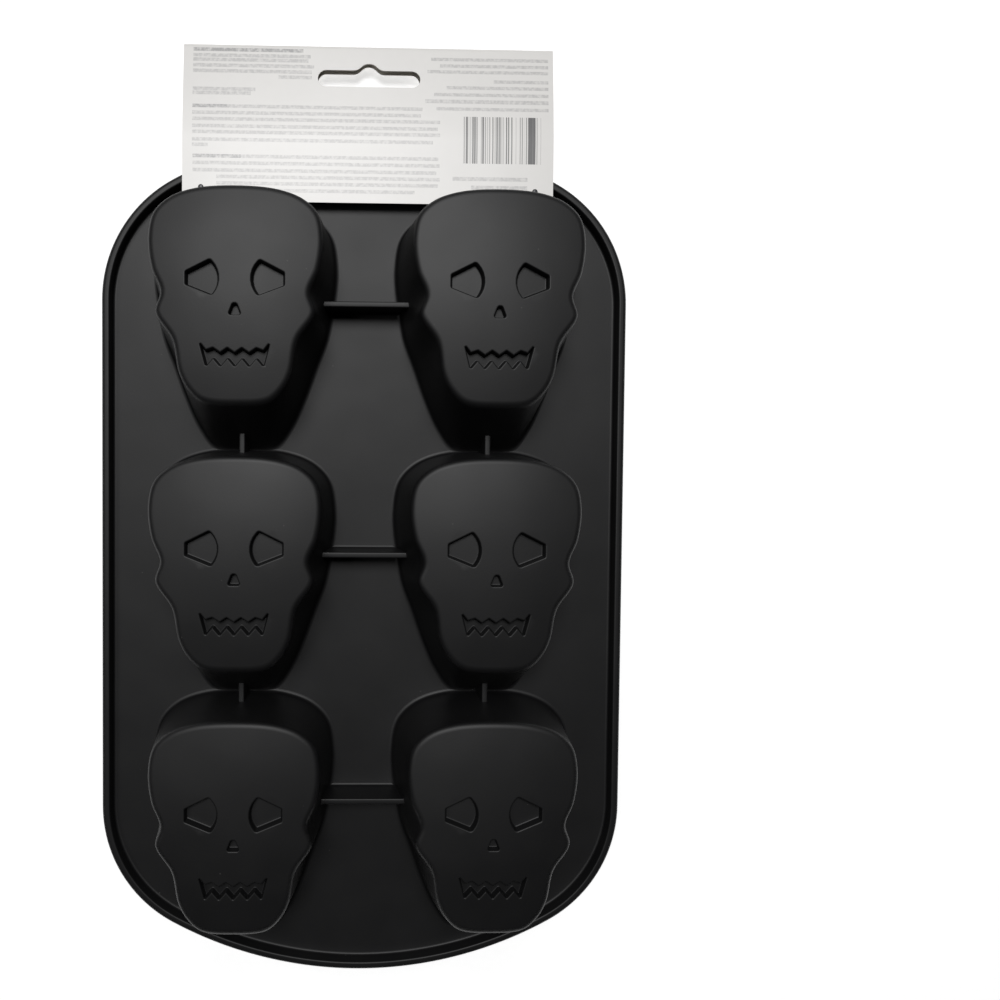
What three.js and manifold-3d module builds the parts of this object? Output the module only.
// A silicone cake mould with six skull-shaped cups, lying with its domes up, and the folded paperboard
// hang card that straddles its rim, held by two tag pins.
// Millimetres. +Z is up, +X runs across the columns and +Y runs towards the hang card.
// The model is built about the middle of the sheet's underside and then set on the middle of its own box.
import * as THREE from "three";
import { mergeVertices } from "three/addons/utils/BufferGeometryUtils.js";
import Module from "manifold-3d";

const wasm = await Module();
wasm.setup();

// The cups: how many, how large, and how far apart
const COLUMNS = 2;
const ROWS = 3;
const CUP_HEIGHT = 30;
const CUP_WALL = 2;
const FOOT_WIDTH = 56;
const FOOT_LENGTH = 76.6;
const FACE_WIDTH = 49;
const FACE_LENGTH = 61.8;
const CROWN_DRAFT = 1.9; // how far a face's crown lies inside its foot's crown
const FACE_EDGE_RADIUS = 1.6;
const COLUMN_GAP = 19.5;
const ROW_GAP = 0.4; // one skull's chin all but meets the crown of the next
const COLUMN_PITCH = FOOT_WIDTH + COLUMN_GAP;
const ROW_PITCH = FOOT_LENGTH + ROW_GAP;

// The sheet that carries the cups, and the bead round its edge
const SHEET_THICKNESS = 2;
const SHEET_CORNER_RADIUS = 43;
const SHEET_END_RADIUS = 125; // both ends bow outwards
const SIDE_MARGIN = 16.75;
const CROWN_END_MARGIN = 23;
const CHIN_END_MARGIN = 12.8;
const RIM_HEIGHT = 4;
const RIM_TOP_WIDTH = 1.2;
const RIM_SHOULDER_RADIUS = 1.3;
const RIM_INNER_DRAFT = 0.3;

// The ribs that stiffen the sheet between the cups
const RIB_HEIGHT = 10.6;
const RIB_TOP_THICKNESS = 1.8;
const RIB_FOOT_THICKNESS = 2.4;
const CROSS_RIB_BELOW_CROWN = 32;
const RIB_CLEARANCE = 0.3;

// The face: sunk eyes, nose and toothed mouth
const EYE_DEPTH = 3;
const NOSE_DEPTH = 2.4;
const MOUTH_DEPTH = 2;
const EYE_CORNER_RADIUS = 1.6;
const NOSE_CORNER_RADIUS = 0.8;
const TOOTH_COUNT = 4;
const TOOTH_PITCH = 4.1;
const UPPER_TOOTH_RISE = 1.4;
const LOWER_TOOTH_RISE = 2.7;
const MOUTH_THICKNESS = 2.6;
const MOUTH_TIP_OVERHANG = 1.4;
const MOUTH_TIP_RISE = 1;

// The hang card, its slot and its pins
const CARD_WIDTH = 115.6;
const CARD_HEIGHT = 49.2;
const CARD_THICKNESS = 0.45;
const CARD_OFFSET_X = 0.5;
const CARD_SEAT_GAP = 0.3;
const CARD_RIM_OVERLAP = 22.6; // from the card's lower edge to the sheet's edge
const CARD_FOLD_RADIUS = 0.7;
const SLOT_WIDTH = 32;
const SLOT_HEIGHT = 5.3;
const SLOT_BELOW_FOLD = 10.3;
const SLOT_HUMP_WIDTH = 10;
const SLOT_HUMP_RISE = 2.2;
const PIN_FROM_CARD_SIDE = 6;
const PIN_ABOVE_CARD_EDGE = 3.8;
const PIN_DIAMETER = 0.9;
const PIN_HOLE_DIAMETER = 1.5;
const PIN_HEAD_DIAMETER = 2.2;
const PIN_HEAD_HEIGHT = 0.6;
const PIN_BAR_LENGTH = 7;
const PIN_BAR_WIDTH = 1.1;
const PIN_BAR_HEIGHT = 0.6;
const PIN_SEAT_GAP = 0.15;
const PIN_PLAY = 1; // how far a pin can slide before its head seats on the card

// How finely round shapes are divided
const STEPS_PER_SPAN = 2;
const CORNER_ARC_STEPS = 10;
const END_ARC_STEPS = 8;
const SHOULDER_STEPS = 3;
const FOLD_STEPS = 4;
const ROUND_STEPS = 16;
const CORNER_STEPS = 3;
const CUT_MARGIN = 1;

// Half a skull's outline as shares of its half width and of its length, from the crown down.
// The crown is a superellipse as far as the temple, and the stations carry on to the chin.
const CROWN_EXPONENT = 2.6;
const CROWN_STEPS = 4;
const FACE_STATIONS = [
  [1, 0.236], // widest, at the temple
  [0.955, 0.379],
  [0.85, 0.487], // pinched in below the temple
  [0.91, 0.58], // cheekbone
  [0.715, 0.704], // pinched in above the jaw
  [0.645, 0.85],
  [0.55, 0.925],
  [0.38, 0.985], // corner of the chin
  [0, 1],
];
const FOOT_STATIONS = [
  [1, 0.247],
  [0.993, 0.335],
  [0.955, 0.431],
  [0.9, 0.54],
  [0.79, 0.65],
  [0.645, 0.796],
  [0.5, 0.91],
  [0.33, 0.988],
  [0, 1],
];

// Corners of one eye and of the nose, and the middle of the teeth, as shares of the face's half width
// and of its length
const EYE_CORNERS = [
  [0.569, 0.399],
  [0.567, 0.457],
  [0.286, 0.505],
  [0.15, 0.424],
  [0.298, 0.344],
];
const NOSE_CORNERS = [
  [0, 0.53],
  [0.078, 0.597],
  [-0.078, 0.597],
];
const MOUTH_MIDDLE = [0, 0.775];

// What follows from the sizes above
const SHEET_HALF_WIDTH = ((COLUMNS - 1) * COLUMN_PITCH + FOOT_WIDTH) / 2 + SIDE_MARGIN;
const GRID_LENGTH = (ROWS - 1) * ROW_PITCH + FOOT_LENGTH;
const SHEET_HALF_LENGTH = (GRID_LENGTH + CROWN_END_MARGIN + CHIN_END_MARGIN) / 2;
const RIM_TOP = SHEET_THICKNESS + RIM_HEIGHT;
const FACE_Z = SHEET_THICKNESS + CUP_HEIGHT;
const CARD_EDGE_Y = SHEET_HALF_LENGTH - CARD_RIM_OVERLAP;
const CARD_FOLD_Y = CARD_EDGE_Y + CARD_HEIGHT;
const CARD_BACK_Z = RIM_TOP + CARD_SEAT_GAP;
const PIN_Y = CARD_EDGE_Y + PIN_ABOVE_CARD_EDGE;
const PIN_BAR_TOP = -CARD_THICKNESS - PIN_SEAT_GAP;
const PIN_HEAD_Z = CARD_BACK_Z + CARD_THICKNESS + PIN_SEAT_GAP + PIN_PLAY;
const LOWEST_Z = PIN_BAR_TOP - PIN_BAR_HEIGHT;

const silicone = { color: 0x26262a, roughness: 0.55, metalness: 0 };
const paperboard = { color: 0xe6e4e0, roughness: 0.7, metalness: 0 };
const pinPlastic = { color: 0x3c3c3f, roughness: 0.4, metalness: 0 };

const cupX = (column) => (column - (COLUMNS - 1) / 2) * COLUMN_PITCH;
const crownY = (row) => SHEET_HALF_LENGTH - CROWN_END_MARGIN - row * ROW_PITCH;
const crossRibY = (row) => crownY(row) - CROSS_RIB_BELOW_CROWN;
const pinX = (side) => CARD_OFFSET_X + side * (CARD_WIDTH / 2 - PIN_FROM_CARD_SIDE);

// Turns a closed geometry into a solid for cutting, and back.
function solidOf(geometry) {
  const bare = geometry.clone();
  bare.deleteAttribute("normal");
  bare.deleteAttribute("uv");
  const merged = mergeVertices(bare);
  const triVerts = new Uint32Array(merged.index.array);
  const vertProperties = merged.attributes.position.array;
  return new wasm.Manifold(new wasm.Mesh({ numProp: 3, vertProperties, triVerts }));
}

function geometryOf(solid) {
  const mesh = solid.getMesh();
  const geometry = new THREE.BufferGeometry();
  geometry.setAttribute("position", new THREE.BufferAttribute(mesh.vertProperties, 3));
  geometry.setIndex(new THREE.BufferAttribute(mesh.triVerts, 1));
  geometry.computeVertexNormals();
  return geometry;
}

// Joins rings of equal length, each { points, z } and anticlockwise from above, into one closed surface.
// An open stack gets a flat cap at each end, and a closed one joins its last ring to its first.
function loft(rings, closed = false) {
  const size = rings[0].points.length;
  const positions = rings.flatMap(({ points, z }) => points.flatMap((p) => [p.x, p.y, z]));
  const index = [];
  const spans = closed ? rings.length : rings.length - 1;
  for (let r = 0; r < spans; r++) {
    const low = r * size;
    const high = ((r + 1) % rings.length) * size;
    for (let i = 0; i < size; i++) {
      const j = (i + 1) % size;
      index.push(low + i, low + j, high + j, low + i, high + j, high + i);
    }
  }
  if (!closed) {
    const last = (rings.length - 1) * size;
    for (const [a, b, c] of THREE.ShapeUtils.triangulateShape(rings[0].points, [])) index.push(c, b, a);
    for (const [a, b, c] of THREE.ShapeUtils.triangulateShape(rings.at(-1).points, [])) {
      index.push(last + a, last + b, last + c);
    }
  }
  const geometry = new THREE.BufferGeometry();
  geometry.setAttribute("position", new THREE.Float32BufferAttribute(positions, 3));
  geometry.setIndex(index);
  return geometry;
}

// Moves every point of an anticlockwise outline inwards, square to the outline there.
function inset(points, distance) {
  return points.map((point, i) => {
    const before = points.at(i - 1);
    const after = points[(i + 1) % points.length];
    const along = after.clone().sub(before).normalize();
    return new THREE.Vector2(point.x - along.y * distance, point.y + along.x * distance);
  });
}

const prism = (points, low, high) => solidOf(loft([{ points, z: low }, { points, z: high }]));

// One quarter of the sheet's edge: the corner arc, then the wide arc of the end, run tangent into each other.
function sheetQuarter(edgeInset) {
  const endCentreY = SHEET_HALF_LENGTH - SHEET_END_RADIUS;
  const cornerX = SHEET_HALF_WIDTH - SHEET_CORNER_RADIUS;
  const reach = SHEET_END_RADIUS - SHEET_CORNER_RADIUS;
  const tangent = Math.acos(cornerX / reach);
  const cornerY = endCentreY + reach * Math.sin(tangent);
  const points = [];
  for (let i = 0; i < CORNER_ARC_STEPS; i++) {
    const angle = (tangent * i) / CORNER_ARC_STEPS;
    const radius = SHEET_CORNER_RADIUS - edgeInset;
    points.push(new THREE.Vector2(cornerX + radius * Math.cos(angle), cornerY + radius * Math.sin(angle)));
  }
  for (let i = 0; i <= END_ARC_STEPS; i++) {
    const angle = tangent + ((Math.PI / 2 - tangent) * i) / END_ARC_STEPS;
    const radius = SHEET_END_RADIUS - edgeInset;
    points.push(new THREE.Vector2(radius * Math.cos(angle), endCentreY + radius * Math.sin(angle)));
  }
  return points;
}

function sheetOutline(edgeInset = 0) {
  const right = sheetQuarter(edgeInset);
  const apex = right.pop();
  const left = right.map((p) => new THREE.Vector2(-p.x, p.y)).reverse();
  const upper = [...right, apex, ...left];
  return [...upper, ...upper.map((p) => new THREE.Vector2(-p.x, -p.y))];
}

// A skull's outline, anticlockwise from above, with its crown on y = 0 and its chin at y = -length.
function skullOutline(width, length, stations) {
  const half = width / 2;
  const [, templeDown] = stations[0];
  const rightSide = [];
  for (let i = 1; i < CROWN_STEPS; i++) {
    const angle = (Math.PI / 2) * (i / CROWN_STEPS);
    const across = Math.sin(angle) ** (2 / CROWN_EXPONENT);
    const down = templeDown * (1 - Math.cos(angle) ** (2 / CROWN_EXPONENT));
    rightSide.push([across, down]);
  }
  rightSide.push(...stations.slice(0, -1));
  const leftSide = rightSide.map(([across, down]) => [-across, down]);
  const loop = [[0, 0], ...leftSide, [0, 1], ...rightSide.reverse()];
  const corners = loop.map(([across, down]) => new THREE.Vector3(across * half, -down * length, 0));
  const curve = new THREE.CatmullRomCurve3(corners, true, "centripetal");
  const points = curve.getPoints(corners.length * STEPS_PER_SPAN).slice(0, -1);
  return points.map((p) => new THREE.Vector2(p.x, p.y));
}

const footOutline = () => skullOutline(FOOT_WIDTH, FOOT_LENGTH, FOOT_STATIONS);

function faceOutline() {
  const points = skullOutline(FACE_WIDTH, FACE_LENGTH, FACE_STATIONS);
  return points.map((p) => new THREE.Vector2(p.x, p.y - CROWN_DRAFT));
}

// The outside of one cup as a full solid, from the sheet's top face up, grown outwards if asked.
function cupBody(grow, low) {
  const foot = inset(footOutline(), -grow);
  const face = inset(faceOutline(), -grow);
  const rings = [];
  if (low < SHEET_THICKNESS) rings.push({ points: foot, z: low });
  rings.push({ points: foot, z: SHEET_THICKNESS });
  for (let i = 0; i <= SHOULDER_STEPS; i++) {
    const angle = (Math.PI / 2) * (i / SHOULDER_STEPS);
    const inwards = FACE_EDGE_RADIUS * (1 - Math.cos(angle));
    const z = FACE_Z - FACE_EDGE_RADIUS * (1 - Math.sin(angle));
    rings.push({ points: inset(face, inwards), z });
  }
  return solidOf(loft(rings));
}

// The hollow of one cup, open through the sheet.
function cupHollow() {
  const foot = inset(footOutline(), CUP_WALL);
  const face = inset(faceOutline(), CUP_WALL);
  return solidOf(
    loft([
      { points: foot, z: SHEET_THICKNESS - CUT_MARGIN },
      { points: foot, z: SHEET_THICKNESS },
      { points: face, z: FACE_Z - CUP_WALL },
    ]),
  );
}

// A closed outline through the given corners, each rounded.
function roundedOutline(corners, radius) {
  const shape = new THREE.Shape();
  corners.forEach((corner, i) => {
    const before = corners.at(i - 1);
    const after = corners[(i + 1) % corners.length];
    const start = corner.clone().add(before.clone().sub(corner).setLength(radius));
    const end = corner.clone().add(after.clone().sub(corner).setLength(radius));
    if (i) shape.lineTo(start.x, start.y);
    else shape.moveTo(start.x, start.y);
    shape.quadraticCurveTo(corner.x, corner.y, end.x, end.y);
  });
  shape.closePath();
  const points = shape.getPoints(CORNER_STEPS).slice(0, -1);
  return THREE.ShapeUtils.isClockWise(points) ? points.reverse() : points;
}

const onFace = ([across, down]) =>
  new THREE.Vector2((across * FACE_WIDTH) / 2, -CROWN_DRAFT - down * FACE_LENGTH);

function eyeOutline(side) {
  const corners = EYE_CORNERS.map(([across, down]) => onFace([side * across, down]));
  return roundedOutline(corners, EYE_CORNER_RADIUS);
}

const noseOutline = () => roundedOutline(NOSE_CORNERS.map(onFace), NOSE_CORNER_RADIUS);

// How far the mouth reaches from its middle: to its end teeth, and up and down.
const MOUTH_HALF_LENGTH = (TOOTH_COUNT * TOOTH_PITCH) / 2;
const MOUTH_TOP = (MOUTH_THICKNESS + UPPER_TOOTH_RISE) / 2;
const MOUTH_BOTTOM = (MOUTH_THICKNESS + LOWER_TOOTH_RISE) / 2;

// The mouth is a zigzag band whose ends rise to a point at each corner.
function mouthOutline() {
  const middle = onFace(MOUTH_MIDDLE);
  const upper = [];
  const lower = [];
  for (let i = -TOOTH_COUNT; i <= TOOTH_COUNT; i++) {
    const x = (i * TOOTH_PITCH) / 2;
    const isPeak = (i + TOOTH_COUNT) % 2 === 1;
    const isEnd = Math.abs(i) === TOOTH_COUNT;
    lower.push(new THREE.Vector2(x, middle.y - MOUTH_BOTTOM + (isPeak ? LOWER_TOOTH_RISE : 0)));
    if (!isEnd) upper.push(new THREE.Vector2(x, middle.y + MOUTH_TOP - (isPeak ? 0 : UPPER_TOOTH_RISE)));
  }
  const tipX = MOUTH_HALF_LENGTH + MOUTH_TIP_OVERHANG;
  const tipY = middle.y + MOUTH_TOP + MOUTH_TIP_RISE;
  const notchY = middle.y + MOUTH_THICKNESS / 2;
  const right = [new THREE.Vector2(tipX, tipY), new THREE.Vector2(MOUTH_HALF_LENGTH, notchY)];
  const left = right.map((p) => new THREE.Vector2(-p.x, p.y)).reverse();
  return [...lower, ...right, ...upper.reverse(), ...left];
}

// The plain patch behind the mouth, inside the cup.
function mouthBacking() {
  const middle = onFace(MOUTH_MIDDLE);
  const across = MOUTH_HALF_LENGTH + MOUTH_TIP_OVERHANG + CUP_WALL;
  const top = middle.y + MOUTH_TOP + MOUTH_TIP_RISE + CUP_WALL;
  const bottom = middle.y - MOUTH_BOTTOM - CUP_WALL;
  const corners = [
    new THREE.Vector2(-across, bottom),
    new THREE.Vector2(across, bottom),
    new THREE.Vector2(across, top),
    new THREE.Vector2(-across, top),
  ];
  return roundedOutline(corners, CUP_WALL);
}

// One hollow skull cup. Each feature is sunk into the face and stands out as a boss inside the hollow.
function skullCup() {
  const features = [
    { cut: eyeOutline(1), back: inset(eyeOutline(1), -CUP_WALL), depth: EYE_DEPTH },
    { cut: eyeOutline(-1), back: inset(eyeOutline(-1), -CUP_WALL), depth: EYE_DEPTH },
    { cut: noseOutline(), back: inset(noseOutline(), -CUP_WALL), depth: NOSE_DEPTH },
    { cut: mouthOutline(), back: mouthBacking(), depth: MOUTH_DEPTH },
  ];
  let hollow = cupHollow();
  for (const { back, depth } of features) {
    hollow = hollow.subtract(prism(back, FACE_Z - depth - CUP_WALL, FACE_Z));
  }
  let cup = cupBody(0, SHEET_THICKNESS).subtract(hollow);
  for (const { cut, depth } of features) {
    cup = cup.subtract(prism(cut, FACE_Z - depth, FACE_Z + CUT_MARGIN));
  }
  return geometryOf(cup);
}

// The flat sheet, with the mouth of every cup and the two pin holes through it.
function sheet() {
  const shape = new THREE.Shape(sheetOutline());
  const mouth = inset(footOutline(), CUP_WALL);
  for (let column = 0; column < COLUMNS; column++) {
    for (let row = 0; row < ROWS; row++) {
      const place = new THREE.Vector2(cupX(column), crownY(row));
      shape.holes.push(new THREE.Path(mouth.map((p) => p.clone().add(place))));
    }
  }
  for (const side of [-1, 1]) {
    const hole = new THREE.Path();
    hole.absarc(pinX(side), PIN_Y, PIN_HOLE_DIAMETER / 2, 0, 2 * Math.PI);
    shape.holes.push(new THREE.Path(hole.getPoints(ROUND_STEPS).slice(0, -1)));
  }
  return new THREE.ExtrudeGeometry(shape, { depth: SHEET_THICKNESS, bevelEnabled: false });
}

// The bead round the sheet's edge: a rounded outer shoulder, a flat top and a steep inner wall.
function rim() {
  const section = [[0, SHEET_THICKNESS]];
  for (let i = 0; i <= SHOULDER_STEPS; i++) {
    const angle = (Math.PI / 2) * (i / SHOULDER_STEPS);
    const inwards = RIM_SHOULDER_RADIUS * (1 - Math.cos(angle));
    section.push([inwards, RIM_TOP - RIM_SHOULDER_RADIUS * (1 - Math.sin(angle))]);
  }
  const innerTop = RIM_SHOULDER_RADIUS + RIM_TOP_WIDTH;
  section.push([innerTop, RIM_TOP]);
  section.push([innerTop + RIM_INNER_DRAFT, SHEET_THICKNESS]);
  return loft(
    section.map(([inwards, z]) => ({ points: sheetOutline(inwards), z })),
    true,
  );
}

// A bar of rib along X, on the sheet's top face, with sides that lean in towards its top.
function ribBar(length) {
  const foot = RIB_FOOT_THICKNESS / 2;
  const top = RIB_TOP_THICKNESS / 2;
  const section = (half) => [
    new THREE.Vector2(-length / 2, -half),
    new THREE.Vector2(length / 2, -half),
    new THREE.Vector2(length / 2, half),
    new THREE.Vector2(-length / 2, half),
  ];
  return solidOf(
    loft([
      { points: section(foot), z: SHEET_THICKNESS },
      { points: section(top), z: SHEET_THICKNESS + RIB_HEIGHT },
    ]),
  );
}

// A cup's full outside with the clearance that a rib keeps from it.
const cupClearance = (x, y) => cupBody(RIB_CLEARANCE, SHEET_THICKNESS - CUT_MARGIN).translate(x, y, 0);

// The rib across the gap between two columns, cut to fit both cups. Its middle is on x = 0, y = 0.
function crossRib() {
  const bar = ribBar(COLUMN_PITCH);
  const left = cupClearance(-COLUMN_PITCH / 2, CROSS_RIB_BELOW_CROWN);
  const right = cupClearance(COLUMN_PITCH / 2, CROSS_RIB_BELOW_CROWN);
  return geometryOf(bar.subtract(left).subtract(right));
}

// The small gusset between one cup's chin and the next cup's crown, whose foot is on y = 0.
function rowRib() {
  const bar = ribBar(ROW_PITCH / 2).rotate(0, 0, 90);
  const above = cupClearance(0, ROW_PITCH);
  const below = cupClearance(0, 0);
  return geometryOf(bar.subtract(above).subtract(below));
}

// Gives a line in the YZ plane an even thickness, as the outline of a bent strip.
function stripOutline(line, thickness) {
  const side = (distance) =>
    line.map((point, i) => {
      const before = line[Math.max(i - 1, 0)];
      const after = line[Math.min(i + 1, line.length - 1)];
      const along = after.clone().sub(before).normalize();
      return new THREE.Vector2(point.x + along.y * distance, point.y - along.x * distance);
    });
  return [...side(thickness / 2), ...side(-thickness / 2).reverse()];
}

// The slot is a long round-ended opening with a hump in the middle of its top edge.
function slotOutline() {
  const half = SLOT_HEIGHT / 2;
  const endX = SLOT_WIDTH / 2 - half;
  const humpX = SLOT_HUMP_WIDTH / 2;
  const shape = new THREE.Shape();
  shape.absarc(endX, 0, half, -Math.PI / 2, Math.PI / 2, false);
  shape.lineTo(humpX, half);
  shape.bezierCurveTo(
    humpX / 2, half, humpX / 2, half + SLOT_HUMP_RISE,
    0, half + SLOT_HUMP_RISE,
  );
  shape.bezierCurveTo(
    -humpX / 2, half + SLOT_HUMP_RISE, -humpX / 2, half,
    -humpX, half,
  );
  shape.absarc(-endX, 0, half, Math.PI / 2, (3 * Math.PI) / 2, false);
  return shape.getPoints(ROUND_STEPS / 2);
}

// The folded card: one panel lies under the sheet, the other on the rim, and they meet at the fold.
function hangCard() {
  const frontZ = -CARD_THICKNESS / 2;
  const backZ = CARD_BACK_Z + CARD_THICKNESS / 2;
  const foldCentre = new THREE.Vector2(CARD_FOLD_Y - CARD_FOLD_RADIUS, (frontZ + backZ) / 2);
  const line = [
    new THREE.Vector2(CARD_EDGE_Y, frontZ),
    new THREE.Vector2(SHEET_HALF_LENGTH, frontZ),
  ];
  for (let i = 0; i <= FOLD_STEPS; i++) {
    const angle = Math.PI * (i / FOLD_STEPS) - Math.PI / 2;
    const turn = new THREE.Vector2(Math.cos(angle), Math.sin(angle));
    line.push(turn.multiplyScalar(CARD_FOLD_RADIUS).add(foldCentre));
  }
  line.push(new THREE.Vector2(SHEET_HALF_LENGTH, backZ));
  line.push(new THREE.Vector2(CARD_EDGE_Y, backZ));
  const shape = new THREE.Shape(stripOutline(line, CARD_THICKNESS));
  const strip = new THREE.ExtrudeGeometry(shape, { depth: CARD_WIDTH, bevelEnabled: false });
  strip.rotateX(Math.PI / 2);
  strip.rotateZ(Math.PI / 2);
  strip.translate(CARD_OFFSET_X - CARD_WIDTH / 2, 0, 0);
  const low = LOWEST_Z - CUT_MARGIN;
  const high = PIN_HEAD_Z + CUT_MARGIN;
  const slotPlace = new THREE.Vector2(CARD_OFFSET_X, CARD_FOLD_Y - SLOT_BELOW_FOLD);
  const slot = slotOutline().map((p) => p.add(slotPlace));
  let card = solidOf(strip).subtract(prism(slot, low, high));
  for (const side of [-1, 1]) card = card.subtract(rod(pinX(side), PIN_Y, PIN_HOLE_DIAMETER, low, high));
  return geometryOf(card);
}

// An upright round rod.
function rod(x, y, diameter, low, high) {
  const cylinder = new THREE.CylinderGeometry(diameter / 2, diameter / 2, high - low, ROUND_STEPS);
  cylinder.rotateX(Math.PI / 2);
  cylinder.translate(x, y, (low + high) / 2);
  return solidOf(cylinder);
}

// A tag pin: a round head over the card, a thin shank through card and sheet, and a cross bar below.
function tagPin() {
  const bar = new THREE.BoxGeometry(PIN_BAR_LENGTH, PIN_BAR_WIDTH, PIN_BAR_HEIGHT);
  bar.translate(0, 0, LOWEST_Z + PIN_BAR_HEIGHT / 2);
  const shank = rod(0, 0, PIN_DIAMETER, LOWEST_Z + PIN_BAR_HEIGHT / 2, PIN_HEAD_Z + PIN_HEAD_HEIGHT / 2);
  const head = rod(0, 0, PIN_HEAD_DIAMETER, PIN_HEAD_Z, PIN_HEAD_Z + PIN_HEAD_HEIGHT);
  return geometryOf(solidOf(bar).add(shank).add(head));
}

const mould = new THREE.Group();

function addPiece(name, geometry, finish, x = 0, y = 0) {
  const mesh = new THREE.Mesh(geometry, new THREE.MeshStandardMaterial(finish));
  mesh.name = name;
  mesh.position.set(x, y, 0);
  mould.add(mesh);
}

const columnName = (column) => ["left", "right"][column] ?? "column_" + (column + 1);
const rowName = (row) => ["crown_end", "middle", "chin_end"][row] ?? "row_" + (row + 1);

addPiece("base_sheet", sheet(), silicone);
addPiece("rim_bead", rim(), silicone);
const cupGeometry = skullCup();
const crossRibGeometry = crossRib();
const rowRibGeometry = rowRib();
for (let row = 0; row < ROWS; row++) {
  for (let column = 0; column < COLUMNS; column++) {
    const name = rowName(row) + "_" + columnName(column);
    addPiece("skull_cup_" + name, cupGeometry, silicone, cupX(column), crownY(row));
    if (row < ROWS - 1) {
      addPiece("row_rib_below_" + name, rowRibGeometry, silicone, cupX(column), crownY(row + 1));
    }
  }
  for (let column = 0; column < COLUMNS - 1; column++) {
    const x = cupX(column) + COLUMN_PITCH / 2;
    addPiece("cross_rib_" + rowName(row), crossRibGeometry, silicone, x, crossRibY(row));
  }
}
addPiece("hang_card", hangCard(), paperboard);
addPiece("tag_pin_left", tagPin(), pinPlastic, pinX(-1), PIN_Y);
addPiece("tag_pin_right", tagPin(), pinPlastic, pinX(1), PIN_Y);

// The origin is the middle of the bottom of the whole box: the card reaches past the sheet at +Y only.
mould.position.set(0, (SHEET_HALF_LENGTH - CARD_FOLD_Y - CARD_THICKNESS / 2) / 2, -LOWEST_Z);

export default mould;
